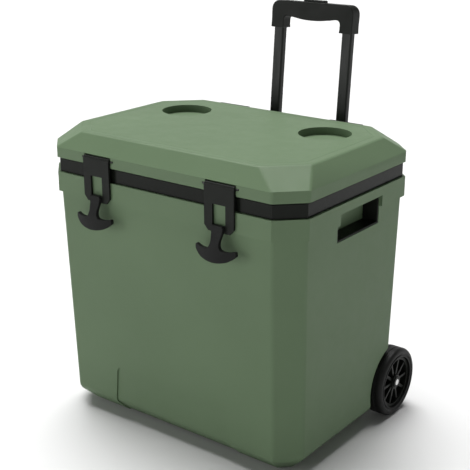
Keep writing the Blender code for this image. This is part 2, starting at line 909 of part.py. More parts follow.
def flat_tube(x, wide, deep, thickness, low, high):
    """An upright rectangular tube in the handle's frame."""
    half_x, half_y = wide / 2, deep / 2
    outer = box((x - half_x, -half_y, low), (x + half_x, half_y, high))
    round_edges(outer, [e for e in outer.edges if abs(e.verts[0].co.z - e.verts[1].co.z) > 1], tube_edge)
    room_x, room_y = half_x - thickness, half_y - thickness
    return cut(outer, box((x - room_x, -room_y, low - 1), (x + room_x, room_y, high + 1)))


def guide_tube(name, side, material, parent):
    low, high = along(guide_low_z), along(guide_high_z)
    tube = flat_tube(side * tube_x, guide_wide, guide_deep, guide_wall, low, high)
    place(f"guide_tube_{name}", tube, material, parent, smooth=True)


def guide_cap(name, side, material, parent):
    """A collar on the guide's mouth, which the handle's tube slides through."""
    top = along(guide_high_z)

    def block(wide, deep, low, high):
        x = side * tube_x
        return box((x - wide / 2, -deep / 2, low), (x + wide / 2, deep / 2, high))

    cap = block(guide_wide + 6, guide_deep + 6, top - 9, top + 4)
    room = block(guide_wide + 2 * GAP, guide_deep + 2 * GAP, top - 10, top + GAP)
    hole = block(tube_wide + 0.8, tube_deep + 0.8, top - 12, top + 10)
    place(f"guide_cap_{name}", cut(cap, room, hole), material, parent)


def upper_bracket_low():
    return guide_high_z - 62


def bracket_parts(low, high, arm_low, arm_high):
    """A plate along the rear wall with an arm to each guide tube."""
    outline = [
        (rear_wall(low) + GAP, low), (rear_wall(low) + hinge_plate + 1, low),
        (rear_wall(high) + hinge_plate + 1, high), (rear_wall(high) + GAP, high),
    ]
    reach = guide_wide / 2 + arm_wall
    back = tube_line(arm_high) + guide_deep / 2 + arm_wall
    plate = prism(outline, "X", -tube_x - reach, tube_x + reach)
    arms = []
    for _, side in sides():
        arms.append(side_box(
            side, tube_x - reach, tube_x + reach, rear_wall(arm_high) + 2, back, arm_low, arm_high,
        ))
    return plate, arms


def guide_holes(low, high):
    """Leaning square holes for the guide tubes between two heights."""
    half_x, half_y = guide_wide / 2 + GAP, guide_deep / 2 + GAP
    return [
        leaned(side_box(
            side, tube_x - half_x, tube_x + half_x, -half_y, half_y, along(low), along(high),
        ))
        for _, side in sides()
    ]


def bracket_screw_holes(z):
    return [screw_hole(side * plate_screw_x(), z, rear_wall(z) - 5, depth) for _, side in sides()]


def upper_bracket(material, parent):
    low, high = upper_bracket_low(), guide_high_z - 12
    plate, arms = bracket_parts(low, high, high - 26, high)
    body = cut(join(plate, *arms), *guide_holes(low - 20, high + 20), *bracket_screw_holes(upper_screw_z()))
    place("handle_upper_bracket", body, material, parent)


def lower_bracket(material, parent):
    low, high = bottom_rise + 3, clamp_screw_z() + screw_head + 3
    arm_low = guide_low_z - 5
    plate, arms = bracket_parts(low, high, arm_low, high)
    tongue = groove - GAP
    keeper = box(
        (-tube_x, wheel_y + axle_radius + GAP, wheel_radius - tongue),
        (tube_x, rear_wall(wheel_radius) + 3, wheel_radius + tongue),
    )
    holes = guide_holes(guide_low_z - GAP, high + 20) + bracket_screw_holes(clamp_screw_z())
    place("handle_lower_bracket", cut(join(plate, keeper, *arms), *holes), material, parent)


def handle_tube(name, side, material, parent):
    high = bar_low + 3
    tube = flat_tube(side * tube_x, tube_wide, tube_deep, tube_wall, high - tube_length, high)
    place(f"handle_tube_{name}", tube, material, parent, smooth=True)


def grip_outline():
    """Front view of the grip: a bar with rounded upper corners over two sockets."""
    inner, outer = tube_x - socket_half, tube_x + socket_half
    right = [
        (inner, bar_low), (inner, socket_low), (outer, socket_low),
        (outer, bar_low - 4), (bar_half, bar_low),
    ]
    corner_x, corner_w = bar_half - bar_corner, bar_high - bar_corner
    for i in range(7):
        turn = math.radians(90) * i / 6
        right.append((corner_x + bar_corner * math.cos(turn), corner_w + bar_corner * math.sin(turn)))
    left = [(-a, b) for a, b in reversed(right)]
    return right + left


def channel_low():
    return crossbar_low() - button_travel - 2


def channel():
    """Room inside the bar for the button's crossbar, with space for its travel."""
    reach = tube_x + 8
    half_y = crossbar_half + 0.5
    return box((-reach, -half_y, channel_low()), (reach, half_y, channel_high))


def grip(material, parent):
    bar = prism(grip_outline(), "Y", -bar_depth / 2, bar_depth / 2)
    round_edges(bar, [e for e in bar.edges if abs(e.verts[0].co.y - e.verts[1].co.y) < 0.01], bar_edge)
    half_x, half_y = tube_wide / 2 + GAP, tube_deep / 2 + GAP
    tools = [channel()]
    for _, side in sides():
        tools.append(side_box(
            side, tube_x - half_x, tube_x + half_x, -half_y, half_y, socket_low - 5, channel_low(),
        ))
        centre = (side * tube_x, grip_screw_w())
        tools.append(rod("Y", -bar_depth, 0.0, centre, screw_radius + GAP, 12))
        tools.append(rod("Y", -bar_depth, -bar_depth / 2 + grip_recess, centre, screw_head + GAP, 16))
    half_y = button_depth / 2 + GAP
    tools.append(box(
        (-button_half - GAP, -half_y, channel_low() + 0.5), (button_half + GAP, half_y, bar_high + 10),
    ))
    place("grip", cut(bar, *tools), material, parent, smooth=True)


def grip_screw_w():
    return socket_low + 11


def grip_screw(name, side, material, parent):
    centre = (side * tube_x, grip_screw_w())
    seat = -bar_depth / 2 + grip_recess - GAP
    head = rod("Y", seat - grip_screw_head, seat, centre, screw_head, 16)
    tip = rod("Y", seat - 0.5, -tube_deep / 2 - GAP, centre, screw_radius, 8)
    place(f"grip_screw_{name}", join(head, tip), material, parent, smooth=True)


def crossbar_low():
    return channel_high - 1 - crossbar_high


def release_button(material, parent):
    half_y = button_depth / 2
    cap = box((-button_half, -half_y, crossbar_low()), (button_half, half_y, bar_high + button_rise))
    round_edges(cap, [e for e in cap.edges if min(v.co.z for v in e.verts) > bar_high], 1.5)
    reach = tube_x + 5
    cross = box(
        (-reach, -crossbar_half, crossbar_low()),
        (reach, crossbar_half, crossbar_low() + crossbar_high),
    )
    place("release_button", join(cap, cross), material, parent)


def release_rod(name, side, material, parent):
    top = crossbar_low() - GAP
    bar = rod("Z", top - tube_length + 20, top, (side * tube_x, 0.0), rod_radius, 10)
    place(f"release_rod_{name}", bar, material, parent, smooth=True)


# ---------------------------------------------------------------- assembly

def rear_reach():
    """Y of the rearmost point, on the grip's upper rear edge."""
    return handle_y + bar_high * math.sin(lean) + bar_depth / 2 * math.cos(lean)


def build_body(parent, green, black, foam, white, steel):
    body_shell(green, parent)
    body_foam(foam, parent)
    inner_liner(white, parent)
    rim_frame(black, parent)
    drain_plug(black, parent)
    for name, side in sides():
        side_grip(name, side, black, parent)
        hinge_bracket(name, side, black, parent)
        hinge_pin(name, side, steel, parent)
        under_head = half_depth + GAP + hinge_plate + GAP
        rear_screw(
            f"hinge_screw_{name}", side * hinge_x, hinge_screw_z(), under_head,
            hinge_plate + screw_bite - 2, steel, parent,
        )


def build_lid(parent, green, black, foam, white, steel):
    lid_shell(green, parent)
    lid_foam(foam, parent)
    lid_liner(white, parent)
    lid_gasket(black, parent)
    for name, side in sides():
        hinge_leaf(name, side, black, parent)
        latch_pin(name, side, steel, parent)
        latch_plate(name, side, black, parent)
        latch_pull(name, side, black, parent)
        under_head = hinge_pocket_y() + GAP + hinge_wall_gap + GAP
        rear_screw(
            f"leaf_screw_{name}", side * hinge_x, leaf_screw_z(), under_head,
            hinge_wall_gap + screw_bite - 2, steel, parent,
        )


def build_wheels(parent, black, rubber, steel):
    axle(steel, parent)
    for name, side in sides():
        tyre(name, side, rubber, parent)
        rim(name, side, black, parent)
        axle_clamp(name, side, black, parent)
        ring_on_axle(f"wheel_washer_{name}", side, well_x + 2, wheel_inner + 2 - GAP, 10.0, steel, parent)
        hub_face = wheel_face - 3
        ring_on_axle(f"axle_cap_{name}", side, hub_face + GAP, hub_face + 2, 9.0, black, parent)
        z = clamp_screw_z()
        under_head = rear_wall(z) + hinge_plate + 2 * GAP
        rear_screw(f"clamp_screw_{name}", side * clamp_x, z, under_head, screw_bite + 4, steel, parent)


def build_handle(parent, black, metal, steel):
    handle_frame = frame("handle_frame", parent, (0.0, handle_y, lid_top), -lean)
    upper_bracket(black, parent)
    lower_bracket(black, parent)
    grip(black, handle_frame)
    release_button(black, handle_frame)
    for name, side in sides():
        guide_tube(name, side, metal, handle_frame)
        guide_cap(name, side, black, handle_frame)
        handle_tube(name, side, metal, handle_frame)
        grip_screw(name, side, steel, handle_frame)
        release_rod(name, side, steel, handle_frame)
        for level, z in (("upper", upper_screw_z()), ("lower", clamp_screw_z())):
            under_head = rear_wall(z) + hinge_plate + 1 + 2 * GAP
            rear_screw(
                f"{level}_screw_{name}", side * plate_screw_x(), z, under_head,
                screw_bite + 4, steel, parent,
            )


def clear_scene():
    for obj in list(bpy.data.objects):
        bpy.data.objects.remove(obj)


def main():
    clear_scene()
    green = finish("olive_plastic", (0.12, 0.165, 0.10), 0.55)
    black = finish("black_plastic", (0.02, 0.022, 0.02), 0.45)
    rubber = finish("tyre_rubber", (0.012, 0.012, 0.012), 0.7)
    foam = finish("foam", (0.85, 0.8, 0.6), 0.9)
    white = finish("liner_plastic", (0.75, 0.76, 0.74), 0.4)
    steel = finish("bright_steel", (0.6, 0.6, 0.6), 0.3, 1.0)
    metal = finish("black_tube", (0.03, 0.033, 0.03), 0.3, 0.6)

    centre = (front_reach - rear_reach()) / 2
    root = frame("cooler_frame", None, (0.0, centre, 0.0))
    build_body(root, green, black, foam, white, steel)
    build_lid(root, green, black, foam, white, steel)
    build_wheels(root, black, rubber, steel)
    build_handle(root, black, metal, steel)


main()
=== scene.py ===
import json
import math

import bmesh
import bpy
from mathutils import Matrix, Vector


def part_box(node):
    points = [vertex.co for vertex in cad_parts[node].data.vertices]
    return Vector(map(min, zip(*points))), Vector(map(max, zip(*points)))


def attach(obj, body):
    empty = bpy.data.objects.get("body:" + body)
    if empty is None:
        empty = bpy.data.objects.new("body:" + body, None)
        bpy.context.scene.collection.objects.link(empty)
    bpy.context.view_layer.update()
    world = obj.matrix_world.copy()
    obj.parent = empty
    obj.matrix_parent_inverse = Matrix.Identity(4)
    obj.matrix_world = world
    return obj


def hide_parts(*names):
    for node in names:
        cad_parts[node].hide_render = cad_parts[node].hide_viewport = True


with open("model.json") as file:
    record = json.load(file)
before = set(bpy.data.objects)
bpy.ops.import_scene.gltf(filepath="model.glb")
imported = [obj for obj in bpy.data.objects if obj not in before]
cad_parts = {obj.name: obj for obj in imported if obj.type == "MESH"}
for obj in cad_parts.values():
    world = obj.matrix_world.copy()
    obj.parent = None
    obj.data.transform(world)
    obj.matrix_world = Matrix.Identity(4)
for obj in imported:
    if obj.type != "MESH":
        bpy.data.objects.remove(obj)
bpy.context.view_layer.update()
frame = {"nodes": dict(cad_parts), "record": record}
nodes = frame["nodes"]
record = frame["record"]
bodyOf = {node: body for body, members in record["behaviour"]["bodies"].items() for node in members}
slotOf = {part["node"]: part["material_slot"] for part in record["subparts"]}
print("frame loaded:", len(nodes), "nodes")

mm = 0.001
sides = {"left": -1, "right": 1}
lidLow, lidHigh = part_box("lid_shell")
middleY = (lidLow.y + lidHigh.y) / 2      # the lid's middle, front to back


def at(x, y, z):
    # millimetres, with Y counted from the lid's middle
    return Vector((x * mm, y * mm + middleY, z * mm))


# materials: each has its own grain, roughness and small colour changes

def link(tree, source, target):
    tree.links.new(source, target)


def newMaterial(name):
    material = bpy.data.materials.new(name)
    material.use_nodes = True
    tree = material.node_tree
    shader = tree.nodes["Principled BSDF"]
    coords = tree.nodes.new("ShaderNodeTexCoord")
    return material, tree, shader, coords.outputs["Object"]


def noise(tree, vector, scale, detail=4.0, roughness=0.5):
    node = tree.nodes.new("ShaderNodeTexNoise")
    node.inputs["Scale"].default_value = scale
    node.inputs["Detail"].default_value = detail
    node.inputs["Roughness"].default_value = roughness
    link(tree, vector, node.inputs["Vector"])
    return node.outputs["Fac"]


def stretched(tree, vector, scale):
    node = tree.nodes.new("ShaderNodeMapping")
    node.inputs["Scale"].default_value = scale
    link(tree, vector, node.inputs["Vector"])
    return node.outputs["Vector"]


def remap(tree, value, low, high, fromLow=0.3, fromHigh=0.7):
    node = tree.nodes.new("ShaderNodeMapRange")
    node.inputs["From Min"].default_value = fromLow
    node.inputs["From Max"].default_value = fromHigh
    node.inputs["To Min"].default_value = low
    node.inputs["To Max"].default_value = high
    link(tree, value, node.inputs["Value"])
    return node.outputs["Result"]


def mixColours(tree, value, first, second):
    node = tree.nodes.new("ShaderNodeMix")
    node.data_type = "RGBA"
    node.inputs["A"].default_value = (*first, 1.0)
    node.inputs["B"].default_value = (*second, 1.0)
    link(tree, value, node.inputs["Factor"])
    return node.outputs["Result"]


def addBump(tree, shader, height, distance, strength=1.0):
    node = tree.nodes.new("ShaderNodeBump")
    node.inputs["Strength"].default_value = strength
    node.inputs["Distance"].default_value = distance
    link(tree, height, node.inputs["Height"])
    link(tree, node.outputs["Normal"], shader.inputs["Normal"])


def scaled(colour, factor):
    return tuple(c * factor for c in colour)


def plastic(name, look):
    # moulded plastic: a fine spark-eroded grain, faint cloudy tone and scuffs in the roughness
    material, tree, shader, place = newMaterial(name)
    tone = noise(tree, place, look["cloudScale"], 3.0)
    colour = mixColours(
        tree, remap(tree, tone, 0.0, 1.0),
        scaled(look["colour"], 1 - look["cloud"]), scaled(look["colour"], 1 + look["cloud"]),
    )
    link(tree, colour, shader.inputs["Base Color"])
    scuffs = noise(tree, place, look["scuffScale"], 6.0, 0.65)
    gloss = remap(tree, scuffs, look["roughness"] - look["scuff"], look["roughness"] + look["scuff"])
    link(tree, gloss, shader.inputs["Roughness"])
    grain = noise(tree, place, look["grainScale"], 2.0, 0.6)
    addBump(tree, shader, grain, look["grainDepth"], look["grainStrength"])
    shader.inputs["Specular IOR Level"].default_value = look["specular"]
    return material


shellLook = {
    "colour": (0.108, 0.160, 0.091),
    "cloud": 0.035,
    "cloudScale": 6.0,
    "roughness": 0.5,
    "scuff": 0.06,
    "scuffScale": 35.0,
    "grainScale": 1500.0,
    "grainDepth": 0.0003,
    "grainStrength": 0.25,
    "specular": 0.14,
}
bandLook = dict(
    shellLook, colour=(0.007, 0.0085, 0.0065), roughness=0.24, scuff=0.05, cloud=0.08,
    grainScale=300.0, grainStrength=0.05, specular=0.1,
)
trimLook = dict(
    shellLook, colour=(0.009, 0.0105, 0.0085), roughness=0.42, scuff=0.07, cloud=0.1,
    grainScale=1100.0, grainStrength=0.35, specular=0.1,
)
pullLook = dict(
    trimLook, colour=(0.01, 0.0105, 0.01), roughness=0.55, grainScale=700.0, specular=0.1,
)
linerLook = dict(
    shellLook, colour=(0.74, 0.75, 0.73), roughness=0.3, scuff=0.05, cloud=0.02,
    grainScale=500.0, grainStrength=0.08,
)
rubberLook = {
    "dustScale": 18.0,
    "dusty": 1.7,             # how much paler the dusty spots are
    "grainScale": 900.0,
    "grainDepth": 0.0003,
    "grainStrength": 0.4,
    "specular": 0.15,
}


def rubberMaterial(name, colour, roughness):
    look = rubberLook
    material, tree, shader, place = newMaterial(name)
    dust = noise(tree, place, look["dustScale"], 5.0, 0.6)
    spots = remap(tree, dust, 0.0, 1.0, 0.4, 0.8)
    link(tree, mixColours(tree, spots, colour, scaled(colour, look["dusty"])), shader.inputs["Base Color"])
    link(tree, remap(tree, dust, roughness - 0.06, roughness + 0.08), shader.inputs["Roughness"])
    grain = noise(tree, place, look["grainScale"], 3.0, 0.7)
    addBump(tree, shader, grain, look["grainDepth"], look["grainStrength"])
    shader.inputs["Specular IOR Level"].default_value = look["specular"]
    return material


steelLook = {
    "along": (1.0, 12.0, 12.0),     # the turning lines run across X
    "lineScale": 260.0,
    "lineShade": 0.86,
    "lineDepth": 0.0001,
    "lineStrength": 0.3,
}


def steelMaterial(name, colour, roughness):
    look = steelLook
    material, tree, shader, place = newMaterial(name)
    lines = noise(tree, stretched(tree, place, look["along"]), look["lineScale"], 4.0, 0.7)
    shaded = scaled(colour, look["lineShade"])
    link(tree, mixColours(tree, lines, shaded, colour), shader.inputs["Base Color"])
    link(tree, remap(tree, lines, roughness - 0.08, roughness + 0.1), shader.inputs["Roughness"])
    shader.inputs["Metallic"].default_value = 1.0
    addBump(tree, shader, lines, look["lineDepth"], look["lineStrength"])
    return material


tubeLook = {
    "along": (1.0, 1.0, 0.06),      # the streaks run up the tube
    "streakScale": 300.0,
    "worn": 1.5,                    # how much paler the worn streaks are
    "roughness": (0.24, 0.4),
    "peelScale": 420.0,
    "peelDepth": 0.0002,
    "peelStrength": 0.2,
    "specular": 0.16,
}


def paintedTubeMaterial(name, colour):
    # powder coat: slight orange peel over drawn tube, worn a little brighter in long streaks
    look = tubeLook
    material, tree, shader, place = newMaterial(name)
    streaks = noise(tree, stretched(tree, place, look["along"]), look["streakScale"], 3.0, 0.6)
    wear = remap(tree, streaks, 0.0, 1.0, 0.45, 0.8)
    link(tree, mixColours(tree, wear, colour, scaled(colour, look["worn"])), shader.inputs["Base Color"])
    link(tree, remap(tree, streaks, *look["roughness"]), shader.inputs["Roughness"])
    peel = noise(tree, place, look["peelScale"], 2.0, 0.5)
    addBump(tree, shader, peel, look["peelDepth"], look["peelStrength"])
    shader.inputs["Specular IOR Level"].default_value = look["specular"]
    return material


foamLook = {
    "cellScale": 700.0,
    "cellShade": 0.75,
    "cellDepth": 0.0005,
    "cellStrength": 0.6,
    "roughness": 0.9,
}


def foamMaterial(name, colour):
    look = foamLook
    material, tree, shader, place = newMaterial(name)
    cells = tree.nodes.new("ShaderNodeTexVoronoi")
    cells.inputs["Scale"].default_value = look["cellScale"]
    link(tree, place, cells.inputs["Vector"])
    tone = remap(tree, cells.outputs["Distance"], 0.0, 1.0, 0.0, 0.8)
    link(tree, mixColours(tree, tone, colour, scaled(colour, look["cellShade"])), shader.inputs["Base Color"])
    addBump(tree, shader, cells.outputs["Distance"], look["cellDepth"], look["cellStrength"])
    shader.inputs["Roughness"].default_value = look["roughness"]
    return material


finishes = {
    "shell_olive": plastic("oliveShell", shellLook),
    "band_black": plastic("glossBand", bandLook),
    "plastic_black": plastic("blackTrim", trimLook),
    "pull_black": plastic("softPull", pullLook),
    "liner_white": plastic("whiteLiner", linerLook),
    "tyre": rubberMaterial("tyreRubber", (0.008, 0.0083, 0.0078), 0.5),
    "gasket": rubberMaterial("gasketRubber", (0.016, 0.016, 0.016), 0.6),
    "steel": steelMaterial("brightSteel", (0.62, 0.62, 0.61), 0.3),
    "dark_steel": steelMaterial("blackenedSteel", (0.045, 0.045, 0.045), 0.4),
    "tube_black": paintedTubeMaterial("paintedTube", (0.009, 0.011, 0.009)),
    "foam": foamMaterial("insulationFoam", (0.85, 0.79, 0.6)),
}
for node, part in nodes.items():
    part.data.materials.clear()
    part.data.materials.append(finishes[slotOf[node]])
print("materials:", len(finishes))


# helpers that shape and place a piece

def cadCopy(node):
    # a merged copy of a CAD node, with the flat faces whole again
    bm = bmesh.new()
    bm.from_mesh(nodes[node].data)
    bmesh.ops.remove_doubles(bm, verts=bm.verts, dist=0.00001)
    bmesh.ops.dissolve_limit(
        bm, angle_limit=math.radians(0.6), use_dissolve_boundaries=False,
        verts=bm.verts, edges=bm.edges,
    )
    return bm


def bevel(bm, edges, width, segments=3, clamp=True):
    return bmesh.ops.bevel(
        bm, geom=edges, offset=width, offset_type="OFFSET", segments=segments,
        profile=0.5, affect="EDGES", clamp_overlap=clamp, material=-1,
    )


def creases(bm, angle=30.0, choose=None):
    # the edges that turn by more than an angle in degrees
    limit = math.radians(angle)
    found = [e for e in bm.edges if len(e.link_faces) == 2 and e.calc_face_angle(0.0) > limit]
    return [e for e in found if choose is None or choose(e)]


def edgeMiddle(edge):
    return (edge.verts[0].co + edge.verts[1].co) / 2


def addPiece(name, bm, replaced, flatAngle=32.0):
    # the finished piece: smooth, weighted normals, on its body, in place of its CAD nodes
    mesh = bpy.data.meshes.new(name)
    bm.to_mesh(mesh)
    bm.free()
    piece = bpy.data.objects.new(name, mesh)
    bpy.context.scene.collection.objects.link(piece)
    mesh.shade_smooth()
    mesh.set_sharp_from_angle(angle=math.radians(flatAngle))
    even = piece.modifiers.new("evenNormals", "WEIGHTED_NORMAL")
    even.keep_sharp = True
    slotName = slotOf[replaced[0]]
    mesh.materials.append(finishes[slotName])
    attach(piece, bodyOf[replaced[0]])
    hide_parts(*replaced)


def refined(node, width, segments=2):
    # a CAD node with its hard edges rounded by a width in millimetres
    bm = cadCopy(node)
    bevel(bm, creases(bm), width * mm, segments)
    words = node.split("_")
    name = words[0] + "".join(word.capitalize() for word in words[1:])
    addPiece(name, bm, [node])


# the lid's outer moulding

lid = {
    "creaseRadius": 3.0,
    "smallRadius": 0.9,
    "grooveInset": 13.5,
    "grooveWidth": 1.0,
    "grooveDepth": 0.7,
    "slopeRun": 21.0,         # the flat top lies this far inside the lid's outline
    "cornerLeg": 37.0,
    "topLeg": 52.0,
    "near": 0.3,              # how close a line has to lie to count
    "rimRise": 18.0,          # above the lid's low edge, only the slopes' creases are left
    "latchX": 117.0,
    "latchHalf": 35.0,
    "latchTop": 449.6,
    "hingeX": 112.0,
    "hingeHalf": 36.0,
}
outlineHalf = ((lidHigh.x - lidLow.x) / 2 / mm, (lidHigh.y - lidLow.y) / 2 / mm)
topHalf = (outlineHalf[0] - lid["slopeRun"], outlineHalf[1] - lid["slopeRun"])


def octagonDistance(x, y, halfX, halfY, leg):
    # how far a point lies outside a rectangle with cut corners, all in millimetres
    x, y = abs(x), abs(y)
    return max(x - halfX, y - halfY, (x + y - halfX - halfY + leg) / math.sqrt(2))


def lidOutside(edge):
    # true for the creases of the lid's outer form
    p = (edgeMiddle(edge) - at(0, 0, 0)) / mm
    rise = abs(edge.verts[0].co.z - edge.verts[1].co.z) / mm
    low, high, near = lidLow.z / mm, lidHigh.z / mm, lid["near"]
    outline = octagonDistance(p.x, p.y, *outlineHalf, lid["cornerLeg"])
    top = octagonDistance(p.x, p.y, *topHalf, lid["topLeg"])
    onTop = abs(p.z - high) < near and abs(top) < near
    onSlope = low + lid["rimRise"] < p.z < high - near and outline > -lid["slopeRun"] - 1
    corner = abs(outline) < near and rise > 8
    latchPocket = abs(abs(p.x) - lid["latchX"]) < lid["latchHalf"] and p.y < 0 and p.z < lid["latchTop"]
    hingePocket = abs(abs(p.x) - lid["hingeX"]) < lid["hingeHalf"] and p.y > 0
    return (onTop or onSlope or corner) and not latchPocket and not hingePocket


def cutGroove(bm):
    # a fine line round the lid's flat top, parallel to its edges
    inset = lid["grooveInset"]
    halfX, halfY = topHalf[0] - inset, topHalf[1] - inset
    leg = lid["topLeg"] - inset * (2 - math.sqrt(2))
    slant = (halfX + halfY - leg) / math.sqrt(2)
    planes = [(1, 0, halfX), (-1, 0, halfX), (0, 1, halfY), (0, -1, halfY)]
    root = math.sqrt(0.5)
    planes += [(a * root, b * root, slant) for a in (-1, 1) for b in (-1, 1)]
    top = lidHigh.z
    for nx, ny, reach in planes:
        faces = [f for f in bm.faces if all(abs(v.co.z - top) < 1e-6 for v in f.verts)]
        near = set(faces)
        for face in faces:
            near.update(face.edges)
            near.update(face.verts)
        normal = Vector((nx, ny, 0))
        bmesh.ops.bisect_plane(
            bm, geom=list(near), dist=1e-6, plane_co=at(nx * reach, ny * reach, top / mm),
            plane_no=normal,
        )
    line = []
    for edge in bm.edges:
        if any(abs(v.co.z - top) > 1e-6 for v in edge.verts):
            continue
        spots = [(v.co - at(0, 0, 0)) / mm for v in edge.verts] + [(edgeMiddle(edge) - at(0, 0, 0)) / mm]
        if all(abs(octagonDistance(p.x, p.y, halfX, halfY, leg)) < 0.05 for p in spots):
            line.append(edge)
    spread = bevel(bm, line, lid["grooveWidth"] * mm, 2, clamp=False)
    for vert in spread["verts"]:
        p = (vert.co - at(0, 0, 0)) / mm
        if abs(octagonDistance(p.x, p.y, halfX, halfY, leg)) < 0.1:
            vert.co.z -= lid["grooveDepth"] * mm


lidMesh = cadCopy("lid_shell")
cutGroove(lidMesh)
bevel(lidMesh, creases(lidMesh, 12.0, lidOutside), lid["creaseRadius"] * mm, 4, clamp=False)
bevel(lidMesh, creases(lidMesh, 40.0), lid["smallRadius"] * mm, 2)
addPiece("lidShell", lidMesh, ["lid_shell"])
print("lid")


# the body's outer moulding

body = {
    "cornerRadius": 4.0,
    "smallRadius": 1.0,
    "bandRadius": 1.2,
    "footHalf": (230.2, 151.2),     # half sizes and cut corners of the walls, at the ground
    "footLeg": 32.5,
    "collarHalf": (235.0, 164.0),   # and under the collar
    "collarLeg": 34.07,
    "collarLow": 379.0,
    "chamferTop": 38.0,             # the walls stand above this
    "shortest": 60.0,
    "near": 0.6,
    "cornerX": 180.0,               # no wall corner lies nearer the middle
}


def bodyCorner(edge):
    # the slanting edges between the walls and their cut corners
    a, b = edge.verts[0].co, edge.verts[1].co
    p = (edgeMiddle(edge) - at(0, 0, 0)) / mm
    share = p.z / body["collarLow"]
    foot = (*body["footHalf"], body["footLeg"])
    collar = (*body["collarHalf"], body["collarLeg"])
    section = [low + (high - low) * share for low, high in zip(foot, collar)]
    onWall = abs(octagonDistance(p.x, p.y, *section)) < body["near"]
    upright = min(a.z, b.z) > body["chamferTop"] * mm and abs(a.z - b.z) > body["shortest"] * mm
    return onWall and upright and abs(p.x) > body["cornerX"]


bodyMesh = cadCopy("body_shell")
bevel(bodyMesh, creases(bodyMesh, 10.0, bodyCorner), body["cornerRadius"] * mm, 3, clamp=False)
bevel(bodyMesh, creases(bodyMesh, 34.0), body["smallRadius"] * mm, 2)
addPiece("bodyShell", bodyMesh, ["body_shell"])
print("body")

refined("rim_frame", body["bandRadius"], 3)


# the rubber pulls of the latches

pull = {
    "neckHalf": 9.0,
    "waistHalf": 7.0,
    "span": 35.7,
    "top": 388.0,
    "foot": 337.0,
    "tipTop": 20.0,           # heights above the foot: the tips' upper edge,
    "waist": 27.0,            # the waist,
    "neck": 40.0,             # and the neck
    "plateFoot": 377.0,
    "thick": 5.6,
    "reach": 9.4,             # how far the T's middle comes forward of its neck
    "sweep": 6.0,             # how far its tips lie back
    "crown": 0.8,
    "edge": 1.9,
    "tipRadius": 1.6,
    "waistRadius": 4.5,
    "sweepRadius": 9.0,
    "slice": 2.5,
}


def flatFace(outline):
    # one face from the right half of an outline, mirrored; points are (x, z) in millimetres
    bm = bmesh.new()
    full = list(outline) + [(-x, z) for x, z in reversed(outline) if x > 0.001]
    bm.faces.new([bm.verts.new((x * mm, 0.0, z * mm)) for x, z in full])
    return bm


def roundCorners(bm, spots, radius, segments=5):
    # rounds the outline's corners that lie at the given (x, z) spots, on both sides
    wanted = []
    for vert in bm.verts:
        x, z = abs(vert.co.x) / mm, vert.co.z / mm
        if any(abs(x - a) < 0.01 and abs(z - b) < 0.01 for a, b in spots):
            wanted.append(vert)
    bmesh.ops.bevel(
        bm, geom=wanted, offset=radius * mm, offset_type="OFFSET", segments=segments,
        profile=0.5, affect="VERTICES", clamp_overlap=True, material=-1,
    )


def thicken(bm, depth, edge, segments=3):
    # gives a flat face its thickness along +Y and rounds its two outlines
    made = bmesh.ops.extrude_face_region(bm, geom=list(bm.faces))
    moved = [item for item in made["geom"] if isinstance(item, bmesh.types.BMVert)]
    bmesh.ops.translate(bm, verts=moved, vec=(0.0, depth, 0.0))
    bmesh.ops.recalc_face_normals(bm, faces=bm.faces)
    rims = [e for e in bm.edges if e.calc_face_angle(0.0) > math.radians(60)
            and abs(e.verts[0].co.y - e.verts[1].co.y) < 1e-6]
    bevel(bm, rims, edge, segments)


def sliceUp(bm, axis, low, high, step):
    # extra cuts across a piece, so that it can be bent
    count = int((high - low) / step)
    for i in range(1, count):
        spot = Vector((0.0, 0.0, 0.0))
        spot[axis] = low + (high - low) * i / count
        normal = Vector((0.0, 0.0, 0.0))
        normal[axis] = 1.0
        everything = list(bm.verts) + list(bm.edges) + list(bm.faces)
        bmesh.ops.bisect_plane(bm, geom=everything, dist=1e-7, plane_co=spot, plane_no=normal)


def pullMesh():
    # the right half of a T that hangs from its neck, its tips swept up
    foot, span = pull["foot"], pull["span"]
    tipTop, waist, neck = foot + pull["tipTop"], foot + pull["waist"], foot + pull["neck"]
    outline = [
        (0.0, foot), (span * 0.42, foot + 1.2), (span * 0.84, foot + 7.0), (span, foot + 14.0),
        (span * 0.98, tipTop), (span * 0.9, tipTop), (span * 0.6, foot + 16.5),
        (pull["waistHalf"] + 3.0, foot + 19.0), (pull["waistHalf"], waist),
        (pull["neckHalf"], neck), (pull["neckHalf"] + 2.0, pull["top"] - 3.0),
        (pull["neckHalf"], pull["top"]), (0.0, pull["top"]),
    ]
    bm = flatFace(outline)
    roundCorners(bm, [outline[1], outline[2], outline[6]], pull["sweepRadius"])
    roundCorners(bm, [outline[7], outline[8]], pull["waistRadius"])
    roundCorners(bm, [outline[3], outline[4], outline[5], outline[9]], pull["tipRadius"], 3)
    thicken(bm, pull["thick"] * mm, pull["edge"] * mm, 4)
    sliceUp(bm, 2, foot * mm, pull["top"] * mm, pull["slice"] * mm)
    sliceUp(bm, 0, -span * mm, span * mm, 2 * pull["slice"] * mm)
    drop = pull["plateFoot"] - foot
    for vert in bm.verts:
        x, z = vert.co.x / mm, vert.co.z / mm
        down = min(max((pull["plateFoot"] - z) / drop, 0.0), 1.0)
        forward = pull["reach"] * math.sin(down * math.pi / 2)
        back = pull["sweep"] * (x / span) ** 2 * min(1.0, down * 1.5)
        front = vert.co.y < pull["thick"] * mm / 2
        crown = pull["crown"] * (1 - (x / span) ** 2) * down if front else 0.0
        vert.co.y -= (forward - min(back, forward) + crown) * mm
    return bm


